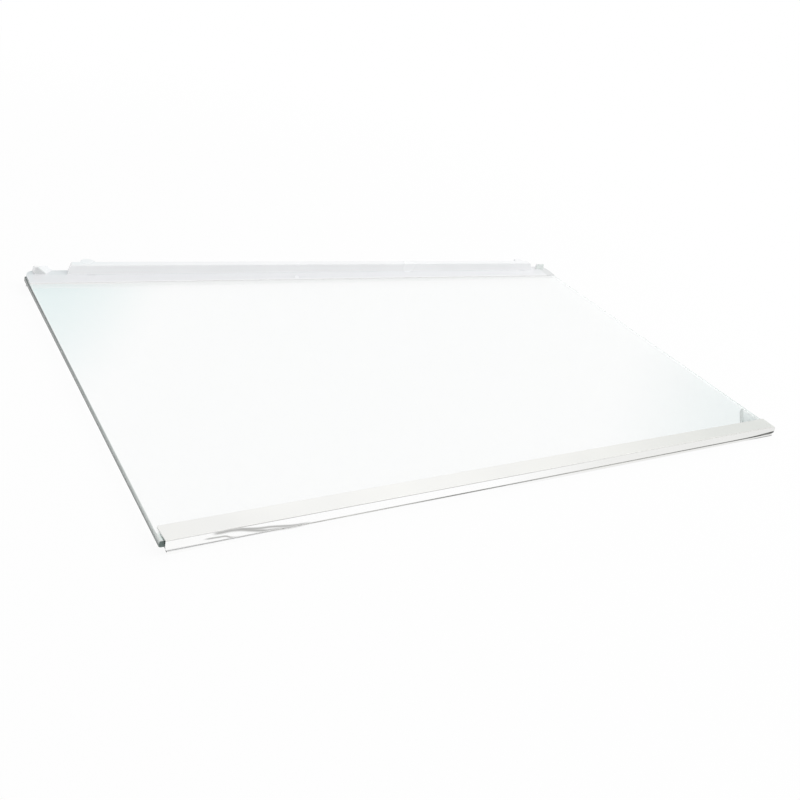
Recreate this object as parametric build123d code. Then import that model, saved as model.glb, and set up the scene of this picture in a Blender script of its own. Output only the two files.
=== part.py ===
"""Fridge shelf: a toughened glass pane held between a front trim with a bright strip and a rear trim
with a back stop. Millimetres. X runs along the front, left to right, Y from front to back, Z up.
The origin lies under the middle of the shelf's box, on the plane that the trims stand on."""
from build123d import *
import os

# Glass pane
glass_width = 475.7
glass_depth = 273.2
glass_thickness = 4.0
glass_corner_radius = 1.2
glass_edge_radius = 1.0      # arrises ground round

# Clearances
face_clearance = 0.1         # between a glass face and the channel wall over or under it
edge_clearance = 0.1         # between the glass edge and the back of a channel
end_clearance = 0.2          # between the glass side and the front trim's closed end
strip_seam = 0.1             # between the bright strip and the nose over it

# Front trim
front_lap = 11.0             # top flange and leg, from the front face to their rear edges
front_wall = 1.0             # behind the front face, with the strip
front_flange = 1.2           # over the glass
front_leg = 1.4              # under the glass
front_stand = 2.5            # from the foot plane up to the leg
grip_relief = 0.6            # the flange clears the glass by this at its root and grips with its rear edge
open_end_inset = 1.6         # open left end at the flange's rear corner, measured in from the glass side
open_end_skew = 0.85         # how much further in that end stands at the front face
open_end_lean = 2.4          # how far it leans in from the top to the foot of the lip
closed_end_wall = 2.3        # closed right end
closed_end_radius = 4.5      # its rounded top corner, seen from the front
nose_height = 0.6            # edge of the top flange over the bright strip
nose_radius = 0.4
flange_edge_radius = 0.5
flange_corner_radius = 1.2
web_length = 25.0            # corner web under the glass, along the front trim
web_reach = 20.2             # the same, back along the glass side
web_tip_radius = 1.5
web_rim = 1.2                # wall that stiffens the web's edges from below
web_rim_lift = 0.5           # from the foot plane up to that wall

# Bright strip: a metal section set into the front face, with a groove and a drop lip below its face
strip_height = 5.7           # its face, above the groove
strip_thickness = 0.4
strip_crown = 0.1            # how far the middle of its face bulges
strip_set_back = 0.1         # its edges, behind the front face
shadow_gap = 0.8             # open groove between the face and the lip
groove_depth = 0.7
strip_web = 0.5              # metal left behind the groove
strip_root = 0.3             # metal over the groove
lip_radius = 0.3

# Rear trim
rear_left_inset = 1.1        # left end, measured in from the glass side
rear_right_inset = 0.4       # the same at the right end
rear_corner_radius = 8.0     # rear corners, seen from above
rear_lap = 12.2              # top flange, from its front edge to the back stop
rear_flange = 0.9            # over the glass, at the foot of the back stop
rear_flange_edge = 0.4       # the same at its thin front edge
rear_edge_radius = 0.2
rear_leg = 1.6               # under the glass
rear_leg_depth = 5.5         # from the leg's front edge to the back block
back_depth = 6.0             # back block and back stop, front to back
foot_radius = 0.4            # round the foot of the back block
stop_height = 6.4            # back stop above the flange
stop_draft = 1.5             # how far the foot of its front stands out from the top
stop_left_inset = 26.0       # from the trim's left end to the front foot of the back stop
stop_right_inset = 21.6      # the same at the right end
stop_end_slope = 2.0         # how far a sloped end leans in over the stop's height
stop_end_skew = 1.8          # how much further in an end stands at the rear face
stop_edge_radius = 1.0
core_wall = 1.8              # wall left round the hollow under the back stop
core_rib = 1.2               # ribs across that hollow
core_pitch = 61.0            # about how far apart the ribs stand
lug_height = 5.0             # end lug above the flange, at its front
lug_rear_height = 3.3        # the same at the rear face
lug_draft = 1.0              # how far the outer side leans in over the lug's height
left_lug_inset = 5.1         # from the trim's end to the foot of the lug
left_lug_front_width = 7.4   # at the foot
left_lug_rear_width = 13.1
left_lug_lean = 5.4          # how far the inner flank leans in over the lug's height
right_lug_inset = 5.1
right_lug_width = 9.5
right_lug_depth = 2.2        # front to back: a plate, where the left lug is a full block
right_lug_lean = 0.3
spacer_left_inset = 41.4     # from the trim's left end to the middle of the spacer
spacer_right_inset = 34.0    # the same at the right end
spacer_radius = 5.0          # half-round spacer on the rear face
spacer_edge_radius = 1.0
foot_slot_width = 5.4        # slot in the flange at the foot of the back stop
foot_slot_depth = 1.1        # front to back
foot_slot_sink = 0.5

# Levels
leg_bottom = front_stand
leg_top = leg_bottom + front_leg
glass_bottom = leg_top + face_clearance
glass_top = glass_bottom + glass_thickness
slot_top = glass_top + face_clearance
front_top = slot_top + front_flange
seat_top = front_top - nose_height
strip_top = seat_top - strip_seam
strip_bottom = strip_top - strip_height
lip_top = strip_bottom - shadow_gap
root_top = strip_bottom + strip_root
rear_leg_bottom = leg_top - rear_leg
rear_top = slot_top + rear_flange
stop_top = rear_top + stop_height

# Places along X
right_overhang = end_clearance + closed_end_wall
glass_left = -(glass_width + right_overhang) / 2
glass_right = glass_left + glass_width
front_left = glass_left + open_end_inset
front_right = glass_right + right_overhang
rear_left = glass_left + rear_left_inset
rear_right = glass_right - rear_right_inset
rear_middle = (rear_left + rear_right) / 2
stop_left = rear_left + stop_left_inset
stop_right = rear_right - stop_right_inset

# Places along Y
shelf_depth = front_wall + glass_depth + 2 * edge_clearance + back_depth + spacer_radius
front_face = -shelf_depth / 2
strip_face = front_face + strip_set_back
strip_back = strip_face + strip_thickness
groove_floor = strip_face + groove_depth
root_back = groove_floor + strip_web
wall_back = front_face + front_wall
lap_end = front_face + front_lap
glass_front = wall_back + edge_clearance
stop_front = glass_front + glass_depth + edge_clearance
stop_foot = stop_front - stop_draft
rear_face = stop_front + back_depth
flange_front = stop_front - rear_lap


def block(low, high):
    """A box between two corners."""
    size = [b - a for a, b in zip(low, high)]
    middle = [(a + b) / 2 for a, b in zip(low, high)]
    return Pos(*middle) * Box(*size)


def prism(corners, along, start, end):
    """A solid that runs along X, Y or Z from start to end. Its outline is given, in the order of the
    other two axes, as (first, second, corner radius)."""
    place = "XYZ".index(along)
    points = []
    for first, second, radius in corners:
        point = [first, second]
        point.insert(place, start)
        points.append(tuple(point))
    outline = FilletPolyline(*points, radius=[radius for first, second, radius in corners], close=True)
    way = [0, 0, 0]
    way[place] = 1
    return extrude(make_face(outline), amount=end - start, dir=tuple(way))


def frustum(foot, top, low, high):
    """A solid between two plan outlines of (x, y) corners, the foot at Z low and the top at Z high."""
    lower = make_face(Polyline(*[(x, y, low) for x, y in foot], close=True))
    upper = make_face(Polyline(*[(x, y, high) for x, y in top], close=True))
    return loft([lower, upper], ruled=True)


def make_glass_pane():
    plan = RectangleRounded(glass_width, glass_depth, glass_corner_radius)
    middle = Pos((glass_left + glass_right) / 2, glass_front + glass_depth / 2, glass_bottom)
    pane = middle * extrude(plan, amount=glass_thickness)
    rims = pane.faces().filter_by(Axis.Z).edges()
    return fillet(rims, glass_edge_radius)


def front_outline():
    """The room that the front trim and its strip fill: their outline from the front and their plan."""
    front_view = prism(
        [
            (front_left, front_top, 0),
            (front_right, front_top, closed_end_radius),
            (front_right, 0, lip_radius),
            (front_left + open_end_lean, 0, 0),
        ],
        "Y",
        front_face,
        lap_end,
    )
    plan = prism(
        [
            (front_left + open_end_skew, front_face, 0),
            (front_right, front_face, 0),
            (front_right, lap_end, flange_corner_radius),
            (front_left, lap_end, flange_corner_radius),
        ],
        "Z",
        0,
        front_top,
    )
    return front_view & plan


def make_corner_web():
    """The web under the glass at the closed end: a plate with a rim round its edges, open below."""
    plate = prism(
        [
            (glass_right, root_back, 0),
            (glass_right, lap_end + web_reach, web_tip_radius),
            (glass_right - web_length, lap_end, 0),
            (glass_right - web_length, root_back, 0),
        ],
        "Z",
        web_rim_lift,
        leg_top,
    )
    underside = plate.faces().sort_by(Axis.Z)[0]
    hollow = extrude(offset(underside, amount=-web_rim), amount=leg_bottom - web_rim_lift, dir=(0, 0, 1))
    return plate - hollow


def make_front_trim():
    body = prism(
        [
            (root_back, leg_bottom, 0),
            (root_back, root_top, 0),
            (strip_back, root_top, 0),
            (strip_back, seat_top, 0),
            (front_face, seat_top, 0),
            (front_face, front_top, nose_radius),
            (lap_end, front_top, flange_edge_radius),
            (lap_end, leg_bottom, flange_edge_radius),
        ],
        "X",
        front_left,
        front_right,
    )
    slot = prism(
        [
            (wall_back, leg_top, 0),
            (lap_end, leg_top, 0),
            (lap_end, slot_top, 0),
            (wall_back, slot_top + grip_relief, 0),
        ],
        "X",
        front_left,
        glass_right + end_clearance,
    )
    return (body & front_outline()) + make_corner_web() - slot


def make_bright_strip():
    middle = (strip_top + strip_bottom) / 2
    back = Polyline(
        (front_left, strip_face, strip_bottom),
        (front_left, groove_floor, strip_bottom),
        (front_left, groove_floor, root_top),
        (front_left, strip_back, root_top),
        (front_left, strip_back, strip_top),
        (front_left, strip_face, strip_top),
    )
    crown = ThreePointArc(
        (front_left, strip_face, strip_top),
        (front_left, strip_face - strip_crown, middle),
        (front_left, strip_face, strip_bottom),
    )
    face = extrude(make_face(back + crown), amount=front_right - front_left, dir=(1, 0, 0))
    lip = prism(
        [
            (strip_face, 0, lip_radius),
            (strip_face, lip_top, lip_radius),
            (groove_floor, lip_top, 0),
            (groove_floor, root_top, 0),
            (root_back, root_top, 0),
            (root_back, 0, lip_radius),
        ],
        "X",
        front_left,
        front_right,
    )
    return (face + lip) & front_outline()


def make_back_stop():
    """The raised bar along the rear. Its front leans back, and its ends slope in towards the top and towards
    the rear face."""
    skew = stop_end_skew / back_depth

    def outline(lean, front):
        corners = []
        for y in (front, rear_face):
            inset = lean + skew * (y - stop_foot)
            corners.append([(stop_left + inset, y), (stop_right - inset, y)])
        return corners[0] + corners[1][::-1]

    bar = frustum(outline(0, stop_foot), outline(stop_end_slope, stop_front), rear_top, stop_top)
    return fillet(bar.faces().sort_by(Axis.Z)[-1].edges(), stop_edge_radius)


def make_spacer(x):
    """A half-round rib on the rear face, from the glass's underside up to the top of the back stop."""
    arc = CenterArc((x, rear_face, glass_bottom), spacer_radius, 0, 180)
    plan = make_face(arc + Line(arc @ 1, arc @ 0))
    rib = extrude(plan, amount=stop_top - glass_bottom, dir=(0, 0, 1))
    crown = rib.faces().sort_by(Axis.Z)[-1].edges().filter_by(GeomType.CIRCLE)
    root = block(
        (x - spacer_radius, rear_face - core_wall, glass_bottom),
        (x + spacer_radius, rear_face, stop_top),
    )
    return fillet(crown, spacer_edge_radius) + root


def make_lug(end_inset, front_width, rear_width, depth, flank_lean):
    """A locating lug, placed at the left end: a tapered block with an upright front, an inner flank and a
    falling top."""
    foot_outer = rear_left + end_inset
    rear = stop_front + depth

    def outline(draft, lean):
        outer = foot_outer + draft
        front_inner = foot_outer + front_width - lean
        rear_inner = foot_outer + rear_width - lean
        return [(outer, stop_front), (front_inner, stop_front), (rear_inner, rear), (outer, rear)]

    front_high = rear_top + lug_height
    tapered = frustum(outline(0, 0), outline(lug_draft, flank_lean), rear_top, front_high)
    falling_top = prism(
        [
            (stop_front, rear_top, 0),
            (stop_front, front_high, 0),
            (rear_face, rear_top + lug_rear_height, 0),
            (rear_face, rear_top, 0),
        ],
        "X",
        foot_outer,
        foot_outer + rear_width,
    )
    return tapered & falling_top


def make_core():
    """The hollow under the back stop, open below, as pockets between ribs."""
    end_solid = stop_end_slope + stop_end_skew + core_wall
    left = stop_left + end_solid
    right = stop_right - end_solid
    count = max(1, round((right - left) / core_pitch))
    pitch = (right - left + core_rib) / count
    pocket_low = (0, stop_front + core_wall, 0)
    pocket_high = (pitch - core_rib, rear_face - core_wall, stop_top - core_wall)
    pocket = block(pocket_low, pocket_high)
    return [Pos(left + i * pitch, 0, 0) * pocket for i in range(count)]


def make_rear_trim():
    leg_front = stop_front - rear_leg_depth
    body = prism(
        [
            (flange_front, slot_top, 0),
            (flange_front, slot_top + rear_flange_edge, rear_edge_radius),
            (stop_foot, rear_top, 0),
            (rear_face, rear_top, flange_edge_radius),
            (rear_face, 0, foot_radius),
            (stop_front, 0, foot_radius),
            (stop_front, rear_leg_bottom, 0),
            (leg_front, rear_leg_bottom, flange_edge_radius),
            (leg_front, leg_top, 0),
            (stop_front, leg_top, 0),
            (stop_front, slot_top, 0),
        ],
        "X",
        rear_left,
        rear_right,
    )
    plan = prism(
        [
            (rear_left, flange_front, flange_corner_radius),
            (rear_right, flange_front, flange_corner_radius),
            (rear_right, rear_face, rear_corner_radius),
            (rear_left, rear_face, rear_corner_radius),
        ],
        "Z",
        0,
        stop_top,
    )
    left_lug = make_lug(left_lug_inset, left_lug_front_width, left_lug_rear_width, back_depth, left_lug_lean)
    plate_lug = make_lug(right_lug_inset, right_lug_width, right_lug_width, right_lug_depth, right_lug_lean)
    right_lug = mirror(plate_lug, about=Plane.YZ.offset(rear_middle))
    body = (body + make_back_stop() + left_lug + right_lug) & plan
    for x in (rear_left + spacer_left_inset, rear_right - spacer_right_inset):
        slot = block(
            (x - foot_slot_width / 2, stop_foot - foot_slot_depth, rear_top - foot_slot_sink),
            (x + foot_slot_width / 2, stop_foot, rear_top),
        )
        body = body + make_spacer(x) - slot
    return body - make_core()


nodes = {
    "glass_pane": make_glass_pane(),
    "front_trim": make_front_trim(),
    "bright_strip": make_bright_strip(),
    "rear_trim": make_rear_trim(),
}

os.makedirs("parts", exist_ok=True)
for name, solid in nodes.items():
    export_step(solid, f"parts/{name}.step")
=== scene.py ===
"""Looks of the fridge glass shelf: clear toughened glass in two white mouldings, with a bright strip in front."""
import math

import bpy
from mathutils import Matrix, Vector

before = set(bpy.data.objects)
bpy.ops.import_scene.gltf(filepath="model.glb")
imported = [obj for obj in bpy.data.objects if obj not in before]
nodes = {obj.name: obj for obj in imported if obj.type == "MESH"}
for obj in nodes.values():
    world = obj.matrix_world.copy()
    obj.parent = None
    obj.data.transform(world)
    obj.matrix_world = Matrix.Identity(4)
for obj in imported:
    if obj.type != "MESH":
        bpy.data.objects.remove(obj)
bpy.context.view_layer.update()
MM = 0.001
CRISP = 0.05  # half width of a sharp border between two tones (mm)
SEAM_FADE = (25.0, -70.0)  # where the painted shade in the seam over the strip thins out, along x, and how slowly (mm)
# Dark wavy reflections painted on the strip, which fall from its left end to the groove: half width, then x and z along
# them (mm)
REFLECTION_STREAKS = (
    (1.6, (-215, 8.0), (-210, 7.7), (-205, 7.8), (-200, 7.2), (-195, 5.8), (-189, 4.2), (-184, 3.2), (-160, 2.8)),
    (1.2, (-203, 8.2), (-197, 7.1), (-190, 5.9), (-184, 5.4), (-178, 4.5), (-172, 3.5), (-167, 3.1), (-160, 3.0)),
    (0.9, (-219, 5.4), (-211, 5.1), (-207, 4.8), (-204.5, 3.6), (-202, 3.0), (-197, 3.0)),
)
# Top and foot of the band of painted shade along the strip's groove, x and z (mm)
GROOVE_TOP = ((-237, 3.2), (-165, 3.1), (-150, 2.9), (190, 2.9), (210, 3.2), (225, 3.9), (239, 4.7))
GROOVE_FOOT = ((-237, 1.9), (190, 1.9), (215, 1.9), (239, 2.6))


def reach(name, axis):
    """The least and greatest coordinate of a CAD node along an axis."""
    piece = nodes[name]
    spots = [(piece.matrix_world @ Vector(corner))[axis] for corner in piece.bound_box]
    return min(spots), max(spots)


def paint(hex_colour):
    """An sRGB hex colour as linear RGBA."""
    parts = [int(hex_colour[i:i + 2], 16) / 255 for i in (1, 3, 5)]
    linear = [c / 12.92 if c <= 0.04045 else ((c + 0.055) / 1.055) ** 2.4 for c in parts]
    return (*linear, 1.0)


def add(tree, kind, feeds=None, stops=(), line=(), **settings):
    """Adds one node with its settings. feeds gives each input a value or the output that drives it, stops the
    places and colours of a ramp, and line the points of a curve."""
    node = tree.nodes.new(kind)
    for name, value in settings.items():
        setattr(node, name, value)
    for name, value in (feeds or {}).items():
        if isinstance(value, bpy.types.NodeSocket):
            tree.links.new(value, node.inputs[name])
        else:
            node.inputs[name].default_value = value
    if stops:
        marks = node.color_ramp.elements
        while len(marks) < len(stops):
            marks.new(0.5)
        for mark, (place, colour) in zip(marks, stops):
            mark.position, mark.color = place, paint(colour)
    if line:
        points = node.mapping.curves[0].points
        while len(points) < len(line):
            points.new(0.5, 0.5)
        for point, spot in zip(points, line):
            point.location = spot
        node.mapping.update()
    return node


def overlap(tree, *parts):
    """How far a spot lies in all the parts, from 0 to 1. A part is such a share itself, or a coordinate in metres
    with the limit that it is past and the half width of the soft border (mm); a negative one means short of it."""
    shared = None
    for part in parts:
        if isinstance(part, tuple):
            value, limit, soft = part
            part = add(tree, "ShaderNodeMapRange",
                       {"Value": value, "From Min": (limit - soft) * MM, "From Max": (limit + soft) * MM},
                       interpolation_type="SMOOTHSTEP").outputs[0]
        if shared is not None:
            part = add(tree, "ShaderNodeMath", {0: shared, 1: part}, operation="MULTIPLY").outputs[0]
        shared = part
    return shared


def tint_where(tree, tone, colour, *parts):
    """The tone, with a colour over it where all the parts overlap."""
    colour = paint(colour) if isinstance(colour, str) else colour
    return add(tree, "ShaderNodeMix", {0: overlap(tree, *parts), 6: tone, 7: colour}, data_type="RGBA").outputs[2]


def over_line(tree, axes, line):
    """Height in metres over a smooth line along the strip that runs through points of x and z in mm."""
    first, last, top = line[0][0], line[-1][0], 16.0  # the curve's own height stands for this many mm
    run = add(tree, "ShaderNodeMapRange",
              {"Value": axes["X"], "From Min": first * MM, "From Max": last * MM}).outputs[0]
    level = add(tree, "ShaderNodeFloatCurve", {"Value": run},
                line=[((x - first) / (last - first), z / top) for x, z in line]).outputs["Value"]
    return add(tree, "ShaderNodeMath", {0: level, 1: -top * MM, 2: axes["Z"]}, operation="MULTIPLY_ADD").outputs[0]


def new_finish(name):
    """An empty node material and its output node."""
    finish = bpy.data.materials.new(name)
    finish.use_nodes = True
    finish.node_tree.nodes.clear()
    return finish, finish.node_tree, finish.node_tree.nodes.new("ShaderNodeOutputMaterial")


def per_mm(size):
    """Scale of a pattern in object space whose repeat is this many millimetres."""
    return 1.0 / (size * MM)


def toughened_float_glass():
    """Soda-lime float glass, cut, edge-ground and toughened. The faces are polished and clear, with the faint
    roller wave of toughening; the ground edges are satin, and long looks through them turn green."""
    finish, tree, out = new_finish("toughened_float_glass")
    place = add(tree, "ShaderNodeTexCoord").outputs["Object"]
    axes = add(tree, "ShaderNodeSeparateXYZ", {0: place}).outputs
    surface_shape = add(tree, "ShaderNodeNewGeometry").outputs
    facing = add(tree, "ShaderNodeSeparateXYZ", {0: surface_shape["True Normal"]}).outputs
    # How level a surface is, from 0 upright to 1: the two faces, the start of the arrises, and the ground edge
    face_level, arris_level, edge_level = 0.99, 0.985, 0.9
    level = add(tree, "ShaderNodeMath", {0: facing["Z"]}, operation="ABSOLUTE").outputs[0]
    edge = add(tree, "ShaderNodeMath", {0: level, 1: edge_level}, operation="LESS_THAN").outputs[0]
    # From inside the glass an edge mirrors all light, so only its outside looks ground.
    outside = add(tree, "ShaderNodeMath", {0: 1.0, 1: surface_shape["Backfacing"]}, operation="SUBTRACT").outputs[0]
    ground_edge = overlap(tree, edge, outside)
    grit = add(tree, "ShaderNodeTexNoise",
               {"Vector": place, "Scale": per_mm(0.6), "Detail": 3.0}).outputs["Fac"]
    edge_rough = add(tree, "ShaderNodeMapRange", {"Value": grit, "To Min": 0.1, "To Max": 0.2}).outputs[0]
    # Painted shading runs over the ground sides as if they were rounded: a pale haze above and towards the front, which
    # clears to dark glass below and to the rear. The cut end at the front is half hazy, in a darker painted shade.
    low, high = reach("glass_pane", 2)
    front, rear = reach("glass_pane", 1)
    rise = add(tree, "ShaderNodeMapRange", {"Value": axes["Z"], "From Min": low, "From Max": high}).outputs[0]
    toward_front = add(tree, "ShaderNodeMapRange",
               {"Value": axes["Y"], "From Min": front, "From Max": rear, "To Min": 1.0, "To Max": 0.4}).outputs[0]
    side = add(tree, "ShaderNodeMapRange", {"Value": facing["Y"], "From Min": -0.7, "From Max": -0.3}).outputs[0]
    haze_and_shade = overlap(tree, rise, toward_front)
    side_shading = add(tree, "ShaderNodeValToRGB", {"Fac": haze_and_shade},
                    stops=((0.0, "#4C5A55"), (0.35, "#8C9A95"), (1.0, "#EDF2F0"))).outputs["Color"]
    edge_shading = tint_where(tree, paint("#839892"), side_shading, side)
    haze_and_shade = add(tree, "ShaderNodeMix", {0: side, 2: 0.5, 3: haze_and_shade}).outputs[0]
    tint = tint_where(tree, paint("#FFFFFF"), edge_shading, ground_edge)
    # The right side is ground white, and seen from inside it has a painted glow: an emission that stands for the light
    # that runs along the pane.
    right_side, ground_depth, painted_glow_strength = reach("glass_pane", 0)[1] / MM, 1.2, 0.38
    slope = add(tree, "ShaderNodeMath", {0: level, 1: arris_level}, operation="LESS_THAN").outputs[0]
    white_side = overlap(tree, slope, (axes["X"], right_side - ground_depth, CRISP))
    glow = overlap(tree, white_side, surface_shape["Backfacing"], painted_glow_strength)
    tint = tint_where(tree, tint, "#F8FBFA", white_side)
    haze_and_shade = add(tree, "ShaderNodeMath", {0: overlap(tree, haze_and_shade, ground_edge), 1: white_side},
               operation="MAXIMUM").outputs[0]
    see_through = add(tree, "ShaderNodeMath", {0: 1.0, 1: haze_and_shade}, operation="SUBTRACT").outputs[0]
    # At the open end of the front trim the face is tinted a darker green over the cut end below it, a painted shade.
    corner_right, corner_rear = -233.5, -136.0
    face = add(tree, "ShaderNodeMath", {0: level, 1: face_level}, operation="GREATER_THAN").outputs[0]
    tint = tint_where(tree, tint, "#C8D8D2", (axes["X"], corner_right, -1.5), (axes["Y"], corner_rear, -2.0), face, outside)
    grit_bump = add(tree, "ShaderNodeBump",
                    {"Height": grit, "Strength": overlap(tree, ground_edge, 0.25), "Distance": 0.05 * MM}).outputs[0]
    # A wave pattern of scale 1 repeats each tau / 20 metres, and the rollers leave a wave each 240 mm.
    wave = add(tree, "ShaderNodeTexWave",
               {"Vector": place, "Scale": per_mm(240) / 20 * math.tau, "Distortion": 1.5, "Detail": 1.0},
               bands_direction="Y").outputs["Fac"]
    roller_wave = add(tree, "ShaderNodeBump",
                      {"Height": wave, "Strength": 0.35, "Distance": 0.08 * MM, "Normal": grit_bump}).outputs[0]
    glass = add(tree, "ShaderNodeBsdfPrincipled",
                {"Base Color": tint, "Transmission Weight": see_through, "IOR": 1.52,
                 "Roughness": overlap(tree, ground_edge, edge_rough), "Normal": roller_wave,
                 "Emission Color": paint("#FFFFFF"), "Emission Strength": glow})
    let_lamps_through = add(tree, "ShaderNodeBsdfTransparent", {"Color": paint("#FFFFFF")})
    surface = add(tree, "ShaderNodeMixShader",
                  {0: add(tree, "ShaderNodeLightPath").outputs["Is Shadow Ray"],
                   1: glass.outputs[0], 2: let_lamps_through.outputs[0]})
    body = add(tree, "ShaderNodeVolumeAbsorption", {"Color": paint("#B4D6CD"), "Density": 7.0})
    tree.links.new(surface.outputs[0], out.inputs["Surface"])
    tree.links.new(body.outputs[0], out.inputs["Volume"])
    return finish


def moulded_white_abs(name, dull, clean, painted_shading):
    """White ABS from a spark-eroded mould: satin white, with a fine even grain that breaks up the highlights and slow
    changes of tone and gloss where the melt flowed. painted_shading adds the painted light and shade of one moulding."""
    finish, tree, out = new_finish(name)
    place = add(tree, "ShaderNodeTexCoord").outputs["Object"]
    # A real spark texture has grains of about 0.1 mm; drawn at 0.6 mm so that it shows.
    grain = add(tree, "ShaderNodeTexNoise",
                {"Vector": place, "Scale": per_mm(0.6), "Detail": 2.0}).outputs["Fac"]
    flow = add(tree, "ShaderNodeTexNoise",
               {"Vector": place, "Scale": per_mm(45), "Detail": 2.0}).outputs["Fac"]
    tone = add(tree, "ShaderNodeValToRGB", {"Fac": flow}, stops=((0.3, dull), (0.7, clean))).outputs["Color"]
    tone = painted_shading(tree, add(tree, "ShaderNodeSeparateXYZ", {0: place}).outputs, tone)
    rough = add(tree, "ShaderNodeMapRange", {"Value": flow, "To Min": 0.22, "To Max": 0.3}).outputs[0]
    bump = add(tree, "ShaderNodeBump",
               {"Height": grain, "Strength": 0.2, "Distance": 0.03 * MM}).outputs[0]
    plastic = add(tree, "ShaderNodeBsdfPrincipled",
                  {"Base Color": tone, "Roughness": rough, "IOR": 1.53, "Normal": bump})
    tree.links.new(plastic.outputs[0], out.inputs["Surface"])
    return finish


def front_painted_shading(tree, axes, tone):
    """Painted light and shade on the front moulding: the flange is painted darker towards the closed end, the web under
    the glass a brighter white, and painted shade lies in the seam over the strip, along the web's slanting rim and in
    the open mouth of the channel."""
    x, y, z = axes["X"], axes["Y"], axes["Z"]
    left_end, right_end = reach("front_trim", 0)
    length = add(tree, "ShaderNodeMapRange", {"Value": x, "From Min": left_end, "From Max": right_end}).outputs[0]
    # Painted shade: the flange darkens towards the closed end.
    shade_toward_end = add(tree, "ShaderNodeValToRGB", {"Fac": length},
               stops=((0.0, "#F8F8F8"), (0.15, "#FFFFFF"), (0.35, "#FCFCFC"), (0.61, "#F4F4F3"), (0.85, "#E8E8E6"),
                      (1.0, "#E5E5E3"))).outputs["Color"]
    shade_toward_end = add(tree, "ShaderNodeMix", {0: 1.0, 6: tone, 7: shade_toward_end}, data_type="RGBA", blend_type="MULTIPLY").outputs[2]
    web_left, web_front, web_top = 205.0, -131.7, 7.0
    # Painted light: the web under the glass is a brighter white, to lift the shade there.
    tone = tint_where(tree, tone, "#FFFDFC", (x, web_left, CRISP))
    tone = tint_where(tree, tone, shade_toward_end, (z, web_top, CRISP))
    # Painted shade in the seam over the strip.
    seam_top, seam_rear, seam_start = 8.9, -142.0, -208.0
    tone = tint_where(tree, tone, "#BEBEBC", (z, seam_top, -0.1), (y, seam_rear, -0.1), (x, seam_start, 8.0),
                 (x, *SEAM_FADE))
    # Painted shade lies along the web's slanting rim. The rim goes this far to the rear for each mm to the right, and
    # its line would cross x = 0 at this y.
    rim_slope, rim_cross = 0.808, -304.2
    off_rim = add(tree, "ShaderNodeMath", {0: x, 1: -rim_slope, 2: y}, operation="MULTIPLY_ADD").outputs[0]
    tone = tint_where(tree, tone, "#DCDAD8", (off_rim, rim_cross, 0.3), (y, web_front, CRISP), (x, web_left, CRISP))
    # Painted shade in the open mouth of the channel, darkest at its front.
    mouth_front, mouth_rear, mouth_right, mouth_top = -141.6, -133.6, -230.0, 8.6
    inward = add(tree, "ShaderNodeMapRange",
                 {"Value": y, "From Min": mouth_front * MM, "From Max": mouth_rear * MM}).outputs[0]
    mouth_shade = add(tree, "ShaderNodeValToRGB", {"Fac": inward},
                stops=((0.0, "#2B2D2D"), (0.2, "#3A3C3C"), (0.4, "#E8EAEA"), (1.0, "#F7F7F5"))).outputs["Color"]
    return tint_where(tree, tone, mouth_shade, (x, mouth_right, -CRISP), (z, mouth_top, -CRISP))


def rear_painted_shading(tree, axes, tone):
    """Painted light and shade on the rear moulding: the flange is painted a little darker than the stop and most at its
    right end, as are the fronts of the lugs; the leg under the glass and the thin edge over it, which lie in shade, are
    painted pure white."""
    x, y, z = axes["X"], axes["Y"], axes["Z"]
    stop_foot, thin_edge, glass_top = 9.1, 8.5, 8.05
    left_lug, right_lug, flange_end, lug_face = -217.0, 216.0, 226.0, 132.4
    # Painted shade: below the stop's foot the moulding is darker than the stop.
    tone = tint_where(tree, tone, "#ECEDEF", (z, stop_foot, -CRISP))
    # Painted light: the leg under the glass and the thin edge over it are pure white where they lie in shade.
    tone = tint_where(tree, tone, "#FFFFFF", (z, thin_edge, -0.1))
    # Painted shade at the right end of the flange.
    tone = tint_where(tree, tone, "#DEE0E0", (x, flange_end, 2.0), (z, glass_top, CRISP))
    # Painted shade on the fronts of the lugs.
    lug_front = overlap(tree, (z, stop_foot, CRISP), (y, lug_face, -0.2))
    tone = tint_where(tree, tone, "#E4E6E6", lug_front, (x, left_lug, -1.0))
    return tint_where(tree, tone, "#EEF4F1", lug_front, (x, right_lug, 1.0))


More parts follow.
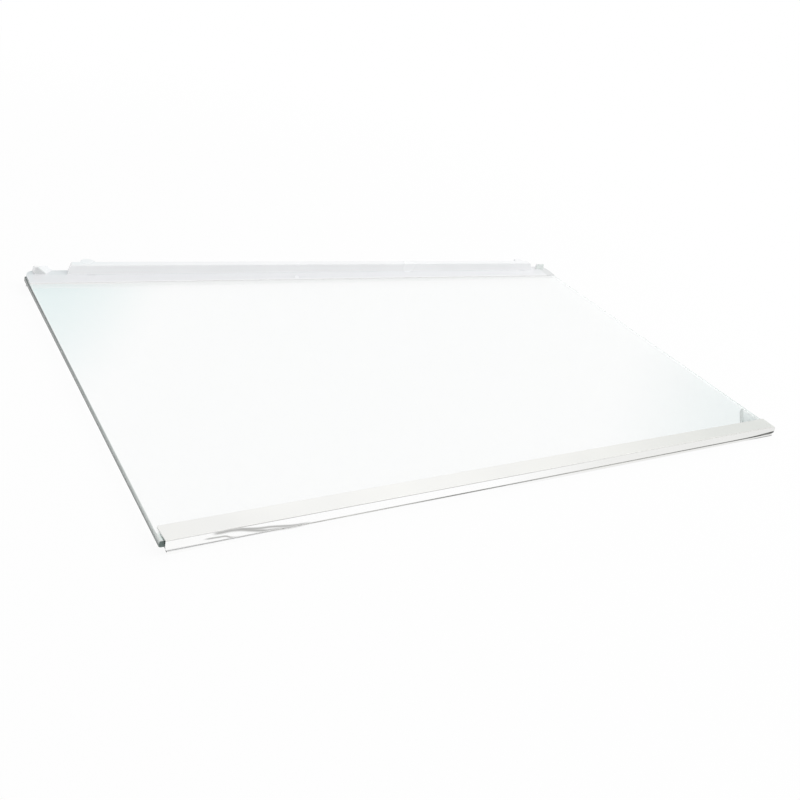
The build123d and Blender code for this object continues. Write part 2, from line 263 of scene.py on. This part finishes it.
def bright_rolled_aluminium():
    """Bright-rolled aluminium section: mirror-like and drawn out lengthwise by the rolls, with a painted darker
    reflection towards the closed end. Painted dark wavy reflections fall across its left end, and the groove is rougher
    and dark with painted shade."""
    finish, tree, out = new_finish("bright_rolled_aluminium")
    place = add(tree, "ShaderNodeTexCoord").outputs["Object"]
    axes = add(tree, "ShaderNodeSeparateXYZ", {0: place}).outputs
    x, z = axes["X"], axes["Z"]
    along = add(tree, "ShaderNodeMapping", {"Vector": place, "Scale": (0.02, 1.0, 1.0)}).outputs[0]
    drawn = add(tree, "ShaderNodeTexNoise",
                {"Vector": along, "Scale": per_mm(0.5), "Detail": 2.0}).outputs["Fac"]
    left_end, right_end = reach("bright_strip", 0)
    length = add(tree, "ShaderNodeMapRange", {"Value": x, "From Min": left_end, "From Max": right_end}).outputs[0]
    # Painted darker reflection towards the closed end.
    tone = add(tree, "ShaderNodeValToRGB", {"Fac": length},
               stops=((0.0, "#FCFCFB"), (0.1, "#FFFFFF"), (0.42, "#FFFFFF"), (0.6, "#F0F0EE"), (0.89, "#EBEBE9"),
                      (1.0, "#E6E6E4"))).outputs["Color"]
    # Painted reflections: a dark wavy line along each streak.
    for half_width, *line in REFLECTION_STREAKS:
        start, end = line[0][0], line[-1][0]
        off = add(tree, "ShaderNodeMath", {0: over_line(tree, axes, line)}, operation="ABSOLUTE").outputs[0]
        tone = tint_where(tree, tone, "#B6B6B4", (off, half_width / 2, -half_width / 2),
                     (x, start + 2.0, 2.0), (x, end - 4.0, -4.0))
    # Painted shade in the groove, darkest at the closed end; the groove is rougher too.
    groove = overlap(tree, (over_line(tree, axes, GROOVE_TOP), 0.0, -0.1),
                     (over_line(tree, axes, GROOVE_FOOT), 0.0, 0.1))
    groove_shade = add(tree, "ShaderNodeValToRGB", {"Fac": length},
                     stops=((0.0, "#EEEEEE"), (0.1, "#F0F0F0"), (0.2, "#F0F0EE"), (0.29, "#E2E2E0"),
                            (0.35, "#BEBEBC"), (0.47, "#CCCCCA"), (0.6, "#DEDEDC"), (0.74, "#D0D0CE"),
                            (0.82, "#C2C2C0"), (0.93, "#B4B4B2"), (0.97, "#767674"), (1.0, "#101010"))).outputs["Color"]
    tone = tint_where(tree, tone, groove_shade, groove)
    # Painted shade on the cut left end of the lip and on its foot at the closed end.
    cut_end, lip_top, foot_start, foot_top, seam_foot = left_end / MM + 1.2, 2.6, 215.0, 0.7, 8.45
    tone = tint_where(tree, tone, "#6A6A68", (x, cut_end, -0.1), (z, lip_top, -0.1))
    tone = tint_where(tree, tone, "#4E4E4C", (x, foot_start, 12.0), (z, foot_top, -0.2))
    # Painted shade in the seam along the top of the strip.
    tone = tint_where(tree, tone, "#C4C4C2", (z, seam_foot, 0.1), (x, *SEAM_FADE))
    rough = add(tree, "ShaderNodeMapRange", {"Value": drawn, "To Min": 0.05, "To Max": 0.14}).outputs[0]
    rough = add(tree, "ShaderNodeMath", {0: groove, 1: 0.35, 2: rough}, operation="MULTIPLY_ADD").outputs[0]
    lines = add(tree, "ShaderNodeBump",
                {"Height": drawn, "Strength": 0.15, "Distance": 0.01 * MM}).outputs[0]
    metal = add(tree, "ShaderNodeBsdfPrincipled",
                {"Base Color": tone, "Metallic": 1.0, "Roughness": rough, "Normal": lines})
    tree.links.new(metal.outputs[0], out.inputs["Surface"])
    return finish


def white_studio_floor():
    """Matt white board. Seen directly, in metal or through glass it is plain white, and it keeps the shadow."""
    finish, tree, out = new_finish("white_studio_floor")
    path = add(tree, "ShaderNodeLightPath").outputs
    seen = path["Is Camera Ray"]
    for ray in ("Is Glossy Ray", "Is Transmission Ray"):
        seen = add(tree, "ShaderNodeMath", {0: seen, 1: path[ray]}, operation="MAXIMUM").outputs[0]
    away = add(tree, "ShaderNodeVectorMath", {0: add(tree, "ShaderNodeTexCoord").outputs["Object"]}, operation="LENGTH")
    fade = add(tree, "ShaderNodeMapRange",
               {"Value": away.outputs["Value"], "From Min": 0.35, "From Max": 0.9, "To Min": 0.92, "To Max": 1.0},
               interpolation_type="SMOOTHSTEP").outputs[0]
    board = add(tree, "ShaderNodeBsdfDiffuse", {"Color": paint("#F6F6F6")})
    glow = add(tree, "ShaderNodeEmission", {"Color": paint("#FFFFFF"), "Strength": 1.0})
    mix = add(tree, "ShaderNodeMixShader", {0: overlap(tree, seen, fade), 1: board.outputs[0], 2: glow.outputs[0]})
    tree.links.new(mix.outputs[0], out.inputs["Surface"])
    return finish


def dress(name, finish):
    """Gives a CAD node one finish all over."""
    nodes[name].data.materials.clear()
    nodes[name].data.materials.append(finish)


def lay_floor(half):
    """A square floor that reaches this far each way (metres)."""
    mesh = bpy.data.meshes.new("floor")
    mesh.from_pydata([(-half, -half, 0), (half, -half, 0), (half, half, 0), (-half, half, 0)], [], [(0, 1, 2, 3)])
    floor = bpy.data.objects.new("floor", mesh)
    floor.data.materials.append(white_studio_floor())
    bpy.context.scene.collection.objects.link(floor)


def hang_lamp(name, place, aim, size, power):
    """A soft rectangular lamp that looks at aim."""
    light = bpy.data.lights.new(name, "AREA")
    light.shape, light.size, light.size_y, light.energy = "RECTANGLE", size[0], size[1], power
    lamp = bpy.data.objects.new(name, light)
    lamp.location = place
    # Its mirror image in the two faces of the pane would look like an edge across the glass.
    lamp.visible_glossy = lamp.visible_transmission = False
    lamp.rotation_euler = (Vector(aim) - Vector(place)).to_track_quat("-Z", "Y").to_euler()
    bpy.context.scene.collection.objects.link(lamp)


def fill_room(level, curtains):
    """Even light from all round. Seen directly the room is white; glass and metal also mirror its dark curtains,
    each given by its azimuth from +Y towards +X, its elevation, the angles where it is dark and has gone, and its
    colour."""
    world = bpy.data.worlds.new("white_room")
    bpy.context.scene.world = world
    world.use_nodes = True
    tree = world.node_tree
    tree.nodes.clear()
    path = add(tree, "ShaderNodeLightPath").outputs
    way = add(tree, "ShaderNodeTexCoord").outputs["Generated"]
    mirrored = paint("#FFFFFF")
    for azimuth, elevation, dark, gone, colour in curtains:
        a, e = math.radians(azimuth), math.radians(elevation)
        middle = (math.sin(a) * math.cos(e), math.cos(a) * math.cos(e), math.sin(e))
        near = add(tree, "ShaderNodeVectorMath", {0: way, 1: middle}, operation="DOT_PRODUCT").outputs["Value"]
        shade = add(tree, "ShaderNodeMapRange",
                    {"Value": near, "From Min": math.cos(math.radians(gone)), "From Max": math.cos(math.radians(dark))},
                    interpolation_type="SMOOTHSTEP").outputs[0]
        mirrored = tint_where(tree, mirrored, colour, shade)
    in_mirror = add(tree, "ShaderNodeMath", {0: path["Is Glossy Ray"], 1: path["Is Transmission Ray"]},
                    operation="MAXIMUM").outputs[0]
    fill = add(tree, "ShaderNodeBackground", {"Color": paint("#FFFFFF"), "Strength": level})
    shown = add(tree, "ShaderNodeBackground", {"Color": mirrored, "Strength": 1.0})
    plain = add(tree, "ShaderNodeBackground", {"Color": paint("#FFFFFF"), "Strength": 1.0})
    mix = add(tree, "ShaderNodeMixShader", {0: in_mirror, 1: fill.outputs[0], 2: shown.outputs[0]})
    mix = add(tree, "ShaderNodeMixShader", {0: path["Is Camera Ray"], 1: mix.outputs[0], 2: plain.outputs[0]})
    add(tree, "ShaderNodeOutputWorld", {"Surface": mix.outputs[0]})


def set_camera():
    """The photograph's view: from the front left, looking down, the frame turned a little."""
    right = Vector((0.8236925, -0.5144121, 0.2385599))
    ahead = Vector((0.5595186, 0.6690589, -0.4891822))
    up = right.cross(ahead)
    lens = bpy.data.cameras.new("camera")
    lens.sensor_width, lens.lens = 36.0, 38.958
    lens.clip_start, lens.clip_end = 0.01, 100.0
    camera = bpy.data.objects.new("camera", lens)
    turn = Matrix((right, up, -ahead)).transposed()
    camera.matrix_world = Matrix.Translation((-0.36251, -0.42470, 0.27908)) @ turn.to_4x4()
    bpy.context.scene.collection.objects.link(camera)
    bpy.context.scene.camera = camera


dress("glass_pane", toughened_float_glass())
dress("front_trim", moulded_white_abs("front_abs", "#F7F7F5", "#FCFCF9", front_painted_shading))
dress("rear_trim", moulded_white_abs("rear_abs", "#F6F7F8", "#FAFBFC", rear_painted_shading))
dress("bright_strip", bright_rolled_aluminium())
lay_floor(12.0)
fill_room(level=0.71, curtains=[(8.0, 23.0, 4.0, 13.0, "#70C8C8"), (74.0, 22.0, 4.0, 19.0, "#AECCCC")])
hang_lamp("key", place=(1.2, -0.4, 1.55), aim=(0.0, 0.0, 0.0), size=(2.4, 2.4), power=21.0)
set_camera()
bpy.context.scene.view_settings.view_transform = "Standard"
